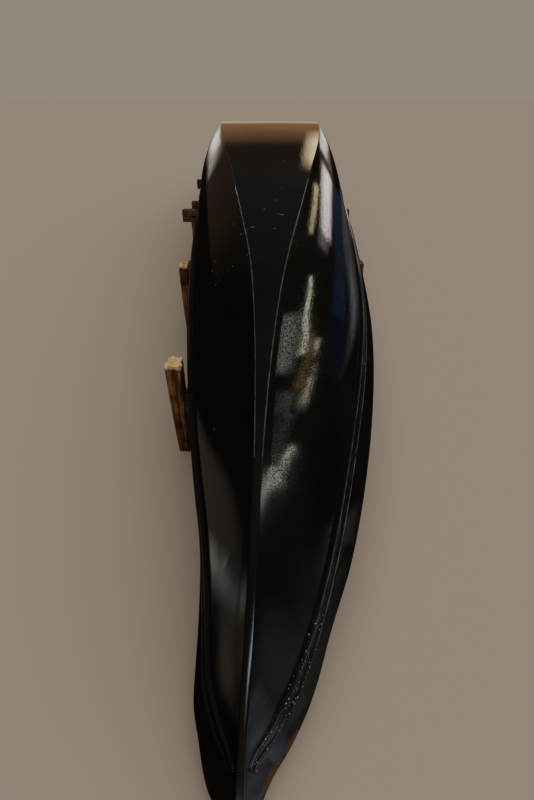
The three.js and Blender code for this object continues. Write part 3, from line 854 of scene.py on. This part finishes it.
def rail_outline(hull, side):
    """The profile laid over the knuckle between the panel and the sheer strake."""
    chine, rail, edge, panel_out, sheer_out = corners(hull, side)
    climb = (chine - rail) + 4 * hull["bulge" + side][..., None] * panel_out
    up = climb / np.linalg.norm(climb, axis=-1, keepdims=True)
    down = (edge - rail) / np.linalg.norm(edge - rail, axis=-1, keepdims=True)
    sign = 1 if side == "P" else -1
    up_out = np.stack([up[..., 1], -up[..., 0]], axis=-1) * sign
    along, out = rail_profile().T
    share = ramp(along, -KNUCKLE, KNUCKLE)[None, :, None]
    leg = np.where((along < 0)[None, :, None], up, down) * np.abs(along)[None, :, None]
    away = up_out * (1 - share) + sheer_out * share
    return rail + leg + away / np.linalg.norm(away, axis=-1, keepdims=True) * out[None, :, None]


for side, word in SIDES.items():
    made_along("rub_rail_" + word, RAIL_FROM, LENGTH - RAIL_FROM,
               lambda hull: rail_outline(hull, side), [rail_enamel[side], bead_highlight_enamel],
               "black_paint", ["rub_rail_" + word], rail_finish[side])

# %% [markdown]
# Inside the strakes run the inwales, and across the hull stand the frames, one bent timber
# shape each. A frame's outline is the planking's inner face, its inner edge is the same
# curve set further in, and it is 36 mm thick along the boat.

# %% Inwales and frames
INWALE_WIDTH, INWALE_HEIGHT, INWALE_SHARE = 28 * MM, 55 * MM, 0.6
FRAME_WIDTH, FRAME_FLOOR, FRAME_ARM = 36 * MM, 70 * MM, 42 * MM
FRAME_FIRST, FRAME_SPACING, FRAME_COUNT = 1400 * MM, 800 * MM, 11
ARM_POINTS, CURVE_POINTS = 12, 60
INWALE_EASE, FRAME_EASE = 2 * MM, 2.5 * MM
BEVEL_ABOVE = 50        # degrees between two faces


def on_strake(hull, side, inset, z):
    """The point at height z on the sheer strake's face set inward by inset."""
    _, rail, edge, _, _ = corners(hull, side, inset)
    share = (z - rail[..., 1]) / (edge[..., 1] - rail[..., 1])
    return rail + (edge - rail) * share[..., None]


def inwale_top(hull):
    """The height of the inwale's upper edge, lower where the strake is low."""
    return hull["sheer"] + np.minimum(INWALE_HEIGHT, (hull["rail"] - hull["sheer"]) * INWALE_SHARE)


def inwale_outline(hull, side):
    """A strip against the strake: low and high corners, and both moved inboard."""
    inboard = np.array([-INWALE_WIDTH if side == "P" else INWALE_WIDTH, 0])
    low = on_strake(hull, side, PLANK + SEAM, hull["sheer"])
    high = on_strake(hull, side, PLANK + SEAM, inwale_top(hull))
    ring = np.concatenate([low, high, high + inboard, low + inboard], axis=1)
    return eased(ring, [INWALE_EASE] * 4)


for side, word in SIDES.items():
    made_along("inwale_" + word, HEAD_END + SEAM, LENGTH - HEAD_END - SEAM,
               lambda hull: inwale_outline(hull, side), [wood_along], "oiled_wood", ["inwale_" + word])


def arm_curve(hull, side, inset, top, foot):
    """From height top on the panel down to the knuckle, then to height foot on the strake."""
    dense = np.linspace(0, 1, CURVE_POINTS)[None]
    line = panel_curve(hull, side, dense, inset)[0]
    start = np.interp(-top, -line[:, 1], dense[0])
    t = np.linspace(start, 1, ARM_POINTS)[None]
    arm = panel_curve(hull, side, t, inset)
    return np.concatenate([arm, on_strake(hull, side, inset, foot)], axis=1)


def soften(piece, width):
    """A planed edge: a two-step bevel wherever faces meet at more than BEVEL_ABOVE."""
    edge = piece.modifiers.new("eased edges", "BEVEL")
    edge.width = width
    edge.segments = 2
    edge.limit_method = "ANGLE"
    edge.angle_limit = math.radians(BEVEL_ABOVE)


for number in range(FRAME_COUNT):
    hull = hull_at(FRAME_FIRST + number * FRAME_SPACING)
    top = (hull["keel"] - hull["cap"] - SEAM).item()
    foot = inwale_top(hull) + SEAM
    skin, deep = PLANK + SEAM, PLANK + SEAM + FRAME_ARM
    outer = {side: arm_curve(hull, side, skin, top, foot) for side in SIDES}
    inner = {side: arm_curve(hull, side, deep, top - FRAME_FLOOR, foot) for side in SIDES}
    ring = [outer["S"][:, ::-1], outer["P"], inner["P"][:, ::-1], inner["S"]]
    rings = np.repeat(at_stations(np.concatenate(ring, axis=1), hull), 2, axis=0)
    rings[:, :, 1] += np.array([[-FRAME_WIDTH / 2], [FRAME_WIDTH / 2]])
    node = f"frame_{number + 1:02d}"
    soften(make_piece("sawn_" + node, rings, [wood_across], [node]), FRAME_EASE)

# %% [markdown]
# The thwarts are straight planks across the hull, and the decks are thin crowned boards over
# the two ends. The boat lies keel up, so a deck's painted outside faces the floor, and the
# bare side is above.

# %% Thwarts and decks
THWARTS = [
    # node, its middle's distance from the stern, width, height above the rail
    ("thwart_aft", 3400, 190, 150),
    ("thwart_middle", 5000, 230, 130),
    ("thwart_fore", 7400, 190, 150),
]
THWART_THICK, THWART_GAP, THWART_EASE = 24 * MM, 0.8 * MM, 3 * MM
THWART_STATIONS = 9
DECKS = {"deck_aft": (40 * MM, 2300 * MM), "deck_fore": (8000 * MM, LENGTH - 40 * MM)}
DECK_EASE = 3 * MM
DECK_THICK, DECK_CROWN, CROWN_WIDTH = 12 * MM, 45 * MM, 850 * MM
DECK_SHARES = np.concatenate([[0, 0.03], np.linspace(0.06, 0.94, 15), [0.97, 1]])


def inside_at(hull, side, z):
    """The point of the planking's inner face at height z, station by station."""
    dense = np.broadcast_to(np.linspace(0, 1, CURVE_POINTS), (len(z), CURVE_POINTS))
    line = panel_curve(hull, side, dense, PLANK + THWART_GAP)
    x = [np.interp(-z[i, 0], -line[i, :, 1], line[i, :, 0]) for i in range(len(z))]
    return np.stack([np.array(x)[:, None], z], axis=-1)


for node, middle, width, above in THWARTS:
    hull = hull_at(np.linspace(middle - width / 2, middle + width / 2, THWART_STATIONS) * MM)
    low = hull["rail"] + above * MM
    high = low + THWART_THICK
    places = (("S", low), ("S", high), ("P", high), ("P", low))
    ring = np.concatenate([inside_at(hull, side, z) for side, z in places], axis=1)
    thwart = make_piece("planed_" + node, at_stations(ring, hull), [wood_across], [node])
    soften(thwart, THWART_EASE)


def deck_outline(hull):
    """Gunwale to gunwale, sunk by the crown times 4 t (1 - t), and back one board lower."""
    t = DECK_SHARES[None]
    wide = hull["edgeP"] - hull["edgeS"]
    crown = DECK_CROWN * np.minimum(wide / CROWN_WIDTH, 1) ** 2
    x = hull["edgeS"] + wide * t
    z = hull["sheer"] - SEAM - crown * 4 * t * (1 - t)
    inner = np.stack([x, z], axis=-1)
    outer = np.stack([x, z - DECK_THICK], axis=-1)[:, ::-1]
    ring = np.concatenate([inner, outer], axis=1)
    count = len(DECK_SHARES)
    return eased(ring, [0] * count + [DECK_EASE] + [0] * (count - 2) + [DECK_EASE])


# a painted margin, the bare inner side, and all the painted outside
deck_finish = [0] + [1] * (len(DECK_SHARES) - 3) + [0] * (len(DECK_SHARES) + 8)
for node, (start, end) in DECKS.items():
    made_along("crowned_" + node, start, end, deck_outline, [worn_enamel, wood_along],
               "black_paint", [node], deck_finish)

# %% [markdown]
# The timbers under the hull are worn baulks, whose soft wood has gone from between the
# ridges of hard wood. The depth of wear at a point is a sum of waves round the outline
# whose phases drift slowly along the timber, so that the ridges run with the grain.

# %% Wear of the timbers
RIDGE_WAVES = 14
RIDGE_TURNS = (3, 30)           # fewest waves round the outline, and one more than the most
RIDGE_DRIFT = 1.2               # spread of how far a wave's phase drifts, in radians
RIDGE_PACE = (1.5, 5)           # how often it drifts, in radians per metre


def ridge_wave(turns, around, along, random):
    """One ridge wave: sin(turns x angle + phase + drift x sin(pace x length + phase)), divided
    by turns to the power 0.6, so that a wave with more turns is lower."""
    phase = random.random() * 6.28
    drift = random.normal(0, RIDGE_DRIFT)
    pace = random.uniform(*RIDGE_PACE)
    return np.sin(turns * around + phase + drift * np.sin(pace * along + phase)) / turns ** 0.6


def eaten(around, along, seed, depth):
    """Depth of wear over a grid, 0 to depth: a sum of waves with 3 to 29 turns round the
    outline, brought to 0 to 1 and raised to a power, so that most of the face stands high."""
    random = np.random.default_rng(seed)
    total = np.zeros(np.broadcast(around, along).shape)
    for turns in random.integers(*RIDGE_TURNS, RIDGE_WAVES):
        total = total + ridge_wave(turns, around, along, random)
    total = (total - total.min()) / (total.max() - total.min())
    return depth * (1 - total) ** 1.8


trial = eaten(np.linspace(0, 2 * math.pi, 36)[None], np.zeros((1, 1)), 1, 3 * MM)
print("deepest wear of one outline:", round(trial.max().item() / MM, 2), "mm")

# %% [markdown]
# Each timber is a rectangle carried along its length with that wear taken off its sides. A
# rotten top ends in splinters of uneven height, closed by ever smaller outlines. All of it
# goes inward, so that a timber stays within its size. A prop narrows towards the floor.

# %% Timbers
SIDE_POINTS = 9
STATION_GAP, FEWEST_STATIONS = 20 * MM, 10
CORNER_WEAR, CORNER_FROM = 4 * MM, 0.72     # how deep, and where on a side it starts
UNWORN = 0.2        # this near the middle of a side, a point only moves across that side
TOP_PLACE, CAP_PACE = np.array([0.3]), 9    # where in the noise a top and its cap are read
CAP_SIZES = np.array([0.72, 0.4, 0.12])     # the outlines that close a timber's top
PROP_WEAR, PROP_SPLINTER, PROP_WAIST = 13 * MM, 14 * MM, 0.25


def make_timber(node, axis, material, seed, depth=3 * MM, splinter=0.0, waist=0.0):
    """The node's box as a rough timber with its length along axis. depth is how deep its sides
    are worn, splinter how uneven its top is, and waist how much narrower its start is."""
    low, high = (np.array(corner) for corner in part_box(node))
    across = [a for a in range(3) if a != axis]
    half = (high - low)[across] / 2
    middle = (high + low)[across] / 2
    step = np.linspace(-1, 1, SIDE_POINTS, endpoint=False)
    one = np.ones(SIDE_POINTS)
    square = np.concatenate([np.stack([step, -one], 1), np.stack([one, step], 1),
                             np.stack([-step, one], 1), np.stack([-one, -step], 1)])
    around = np.linspace(0, 2 * math.pi, len(square), endpoint=False)
    length = (high - low)[axis]
    along = np.linspace(0, 1, max(int(length / STATION_GAP), FEWEST_STATIONS))[:, None]
    wear = eaten(around[None], along * length, seed, depth)
    near_corner = np.maximum(np.abs(square).min(axis=1) - CORNER_FROM, 0) / (1 - CORNER_FROM)
    inward = (wear + near_corner * CORNER_WEAR)[..., None] / half
    ring = np.sign(square) * np.maximum(np.abs(square) - inward * (np.abs(square) > UNWORN), 0)
    narrow = 1 - waist * (1 - along[..., None]) ** 2
    spots = middle + ring * half * narrow
    top = eaten(around, TOP_PLACE, seed + 1, 1.0)
    level = np.minimum(along * length, length - splinter * top[None])
    rings = np.empty(spots.shape[:2] + (3,))
    rings[..., across] = spots
    rings[..., axis] = low[axis] + level
    cap = rings[-1:].repeat(len(CAP_SIZES), axis=0)
    cap[..., across] = middle + (rings[-1][:, across] - middle) * CAP_SIZES[:, None, None]
    cap_wear = eaten(around[None] * 2, CAP_SIZES[:, None] * CAP_PACE, seed + 2, splinter)
    cap[..., axis] = high[axis] - cap_wear
    rings = np.concatenate([rings, cap])
    return make_piece("worn_" + node, rings, [material], [node], sharp=30)


PROPPED = ("prop", "beam", "sleeper", "leg")
LEGGED = ("beam", "leg_starboard", "leg_port")
TRESTLES = {1: PROPPED, 2: PROPPED, 3: LEGGED, 4: LEGGED, 5: LEGGED, 6: LEGGED, 7: LEGGED}
for number, kinds in TRESTLES.items():
    for kind in kinds:
        node = f"trestle_{number}_{kind}"
        seed = len(bpy.data.meshes)     # each timber is worn in its own way
        if kind == "prop":
            prop = make_timber(node, 2, prop_timber, seed, PROP_WEAR, PROP_SPLINTER, PROP_WAIST)
            prop.visible_glossy = False     # the picture's planking doesn't mirror it
        elif kind in ("beam", "sleeper"):
            make_timber(node, 0, beam_timber, seed)
        else:
            make_timber(node, 2, post_timber, seed)

# %% [markdown]
# The floor is plain and pale, and reaches far enough to end in a level horizon. A black boat
# shows whatever is round it, so the paint mirrors a plain workshop made of bands of colour: a
# pale line low on the far wall, dark walls with a warm one to starboard, dim floor, brown
# eaves and a grey roof. The camera itself sees one plain colour instead.

# %% Stage
FLOOR_REACH = 150
FLOOR, AIR = "#a59d94", "#968a7c"
# ends of the fades below, in a unit sphere of directions
FLANK_WARMS, FLANK_COOLS = (-0.62, -0.45), (-0.14, 0)
FAR_WALL, FAR_LINE = (0.95, 0.985), (0.06, 0.01)
HORIZON, SHADE = (-0.05, -0.03), (-0.45, -0.62)
EAVES, ROOF = (0.145, 0.235), (0.235, 0.42)

floor_mesh = bpy.data.meshes.new("floor")
r = FLOOR_REACH
floor_mesh.from_pydata([(-r, -r, 0), (r, -r, 0), (r, r, 0), (-r, r, 0)], [], [(0, 1, 2, 3)])
floor = bpy.data.objects.new("floor", floor_mesh)
bpy.context.collection.objects.link(floor)
floor.visible_glossy = False
floor.visible_shadow = False
floor_material, tree, _ = start_material("pale_plain_floor")
dress(tree, {"Base Color": FLOOR, "Roughness": 0.9, "Specular IOR Level": 0.0})
floor_mesh.materials.append(floor_material)

world = bpy.data.worlds.new("workshop air")
world.use_nodes = True
bpy.context.scene.world = world
tree = world.node_tree
tree.nodes.clear()
around = add(tree, "TexCoord").outputs["Generated"]
sides = coats(tree, "#0f0d0b", [(fade(tree, around, "X", FLANK_WARMS), "#3d3127"),
                                (fade(tree, around, "X", FLANK_COOLS), "#14110f")])
far = coats(tree, "#8e6c4d", [(fade(tree, around, "Z", FAR_LINE), "#c9b292")])
walls = coats(tree, sides, [(fade(tree, around, "Y", FAR_WALL), far)])
ground = coats(tree, "#14100f", [(fade(tree, around, "Z", SHADE), "#050505")])
air = coats(tree, ground, [(fade(tree, around, "Z", HORIZON), walls),
                           (fade(tree, around, "Z", EAVES), "#32261d"),
                           (fade(tree, around, "Z", ROOF), "#343331"),
                           (add(tree, "LightPath").outputs["Is Camera Ray"], AIR)])
glow = add(tree, "Background", {"Color": air, "Strength": 1.0})
add(tree, "OutputWorld", {"Surface": glow})
print("floor", FLOOR, "air", AIR)

# %% [markdown]
# Gloss black has almost no colour of its own, so its look is made by what it mirrors. Each
# light below is a soft panel in the direction that one of the picture's highlights comes
# from, found by following that highlight back off the hull. It fades towards its rim, because
# a window seen in waving paint has no sharp edge. The large soft light overhead is for the
# floor and the timbers, and is kept out of the mirror images.

# %% Lights
OVERHEAD, OVERHEAD_ANGLE, OVERHEAD_TURN = 2.6, 100, (12, 14)     # strength and degrees
ASTERN, INBOARD, OUTBOARD, UP = (0, -1, 0), (-1, 0, 0), (1, 0, 0), (0, 0, 1)
PANELS = [
    # name, middle, length, height, faces, long side runs, colour, brightness, soft edge
    ("far_left_core", (-2.70, 9.0, 1.15), 1.2, 1.2, ASTERN, (1, 0, 0), "#eef4ff", 1.15, 0.45),
    ("far_left_haze", (-2.95, 9.0, 1.00), 2.2, 2.0, ASTERN, (1, 0, 0), "#eef0f4", 0.22, 0.6),
    ("far_right_core", (2.95, 9.0, 1.05), 1.6, 0.9, ASTERN, (1, 0, 0.33), "#f2f2ff", 1.25, 0.3),
    ("far_high_right", (2.15, 9.0, 3.85), 1.75, 2.5, ASTERN, (1, 0, 0), "#fbe5b0", 2.8, 0.65),
    ("far_wide_right", (5.95, 9.0, 1.45), 3.7, 1.3, ASTERN, (1, 0, 0.17), "#ffeee6", 3.1, 0.45),
    ("far_wide_tail", (7.85, 9.0, 1.95), 1.6, 1.3, ASTERN, (1, 0, 0.2), "#f6f2ea", 0.45, 0.4),
    ("far_band_right", (6.75, 9.0, 2.74), 2.9, 0.48, ASTERN, (1, 0, 0.33), "#ffeab4", 2.0, 0.2),
    ("far_blue_right", (8.0, 9.0, 0.1), 8.0, 1.6, ASTERN, (1, 0, 0), "#4f78ad", 0.18, 0.3),
    ("right_blue", (5.0, 1.0, 0.30), 3.8, 1.1, INBOARD, (0, 1, 0.1), "#3a5fc0", 0.08, 0.3),
    ("streak_high_near", (5.0, 0.10, 1.225), 1.35, 0.16, INBOARD, (0, 1, 0.43), "#fdfbe0", 4.2, 0.07),
    ("streak_high_far", (5.0, 1.20, 1.595), 1.75, 0.15, INBOARD, (0, 1, 0.257), "#fdfbe0", 4.6, 0.065),
    ("grain_high", (5.0, -0.22, 1.44), 1.95, 0.52, INBOARD, (0, 1, 0.46), "#fbfbee", 0.95, 0.24),
    ("amber_between", (5.0, -0.55, 0.82), 1.60, 0.24, INBOARD, (0, 1, 0.35), "#ffdc96", 0.55, 0.08),
    ("streak_low", (5.0, -0.75, 0.550), 1.80, 0.26, INBOARD, (0, 1, 0.38), "#fff6cc", 2.6, 0.12),
    ("streak_low_haze", (5.0, -1.20, 0.42), 1.20, 0.40, INBOARD, (0, 1, 0.35), "#fbfbea", 0.4, 0.17),
    ("grain_low", (5.0, -1.68, 0.56), 0.80, 0.60, INBOARD, (0, 1, 0.30), "#fbfbee", 0.34, 0.15),
    ("grain_near", (5.0, -2.50, 0.33), 1.50, 0.42, INBOARD, (0, 1, 0.10), "#fbfbf4", 0.3, 0.15),
    ("streak_near", (5.0, -2.98, -0.02), 1.20, 0.24, INBOARD, (0, 1, -0.05), "#fffdea", 3.6, 0.1),
    ("streak_turn", (5.0, -3.78, 0.26), 1.30, 0.55, INBOARD, (0, 1, -0.55), "#fffdf0", 3.4, 0.15),
    ("streak_rise", (5.0, -4.62, 0.80), 1.30, 0.75, INBOARD, (0, 1, -0.50), "#fffdf4", 2.6, 0.2),
    ("streak_top", (5.0, -5.60, 2.20), 2.80, 0.80, INBOARD, (0, 1, -1.7), "#fffdf4", 2.2, 0.2),
    ("high_right", (5.0, 1.2, 3.9), 15.0, 1.0, INBOARD, (0, 1, 0), "#f6f6f6", 1.4, 0.3),
    ("high_left", (-5.0, 5.0, 3.9), 8.0, 0.8, OUTBOARD, (0, 1, 0), "#f6f6f4", 1.8, 0.3),
    ("behind_right", (1.05, -8.75, 1.35), 2.0, 0.7, (-0.3, 0.95, 0), (0.95, 0.3, 0), "#d8e6ff", 7.0, 0.2),
    ("behind_low", (0.05, -9.5, 0.25), 2.0, 0.5, (0, 1, 0), (1, 0, 0), "#f2ecf4", 1.5, 0.1),
    ("floor_left_streak", (-0.66, -4.81, 0.01), 1.1, 0.30, UP, (0.87, 0.48, 0), "#fffdf0", 0.38, 0.14),
    ("floor_left_far", (-1.22, -5.05, 0.01), 1.6, 0.38, UP, (0.93, 0.37, 0), "#fffdf0", 1.2, 0.17),
    ("floor_left", (-0.70, -4.50, 0.01), 1.9, 0.9, UP, (0.3, 1, 0), "#ffe6d2", 0.10, 0.25),
    ("floor_left_near", (-1.30, -5.42, 0.01), 1.9, 0.45, UP, (0.93, 0.37, 0), "#ffe2cc", 0.26, 0.13),
    ("floor_right", (0.42, -5.44, 0.01), 0.85, 0.24, UP, (0.92, -0.38, 0), "#d0dcee", 0.50, 0.1),
    ("floor_right_dim", (0.95, -5.44, 0.01), 1.8, 0.8, UP, (0.92, -0.38, 0), "#f2f0f2", 0.17, 0.35),
    ("floor_right_edge", (0.95, -4.90, 0.01), 0.9, 0.5, UP, (1, 0, 0), "#f2e8dc", 0.05, 0.2),
    ("floor_beside", (0.58, -4.92, 0.01), 1.2, 0.3, UP, (0.64, 0.77, 0), "#eeecea", 0.14, 0.1),
    ("floor_far_right", (2.7, 1.0, 0.01), 2.8, 5.6, UP, (1, 0, 0), "#f0ecf8", 0.11, 0.5),
    ("floor_far_core", (2.7, -0.45, 0.01), 1.5, 2.0, UP, (1, 0, 0), "#f0ecf8", 0.22, 0.5),
]


def rim_share(tree, across, axis, soft):
    """1 inside a panel and 0 at its rim, over the last soft share of its size on the axis."""
    place = add(tree, "SeparateXYZ", {"Vector": across}).outputs[axis]
    off = add(tree, "Math", {0: place, 1: 0.5}, operation="SUBTRACT")
    away = add(tree, "Math", {0: off}, operation="ABSOLUTE")
    return add(tree, "MapRange", {"Value": away, "From Min": 0.5, "From Max": 0.5 - soft})


def make_panel(name, middle, length, height, faces, runs, colour, brightness, soft):
    """A panel of length by height metres whose face is as bright as given, and fades out over
    its last soft metres. Only the gloss paint mirrors it."""
    lamp = bpy.data.lights.new(name, "AREA")
    lamp.shape = "RECTANGLE"
    lamp.size, lamp.size_y = length, height
    lamp.energy = brightness * length * height * math.pi
    lamp.color = light(colour)[:3]
    lamp.use_nodes = True
    tree = lamp.node_tree
    tree.nodes.clear()
    across = add(tree, "NewGeometry").outputs["Parametric"]
    shares = [rim_share(tree, across, "X", soft / length), rim_share(tree, across, "Y", soft / height)]
    share = add(tree, "Math", {0: shares[0], 1: shares[1]}, operation="MULTIPLY")
    add(tree, "OutputLight", {"Surface": add(tree, "Emission", {"Strength": share})})
    panel = bpy.data.objects.new(name, lamp)
    back, side = -Vector(faces), Vector(runs).normalized()
    panel.matrix_world = Matrix((side, back.cross(side), back)).transposed().to_4x4()
    panel.location = middle
    panel.visible_camera = False
    panel.visible_diffuse = False
    bpy.context.collection.objects.link(panel)


for row in PANELS:
    make_panel(*row)
overhead = bpy.data.lights.new("overhead_soft_light", "SUN")
overhead.energy = OVERHEAD
overhead.angle = math.radians(OVERHEAD_ANGLE)
overhead.color = light("#fff3e4")[:3]
dome = bpy.data.objects.new("overhead_soft_light", overhead)
dome.rotation_euler = (math.radians(OVERHEAD_TURN[0]), math.radians(OVERHEAD_TURN[1]), 0)
dome.visible_glossy = False
bpy.context.collection.objects.link(dome)
print("lights:", len(PANELS) + 1)
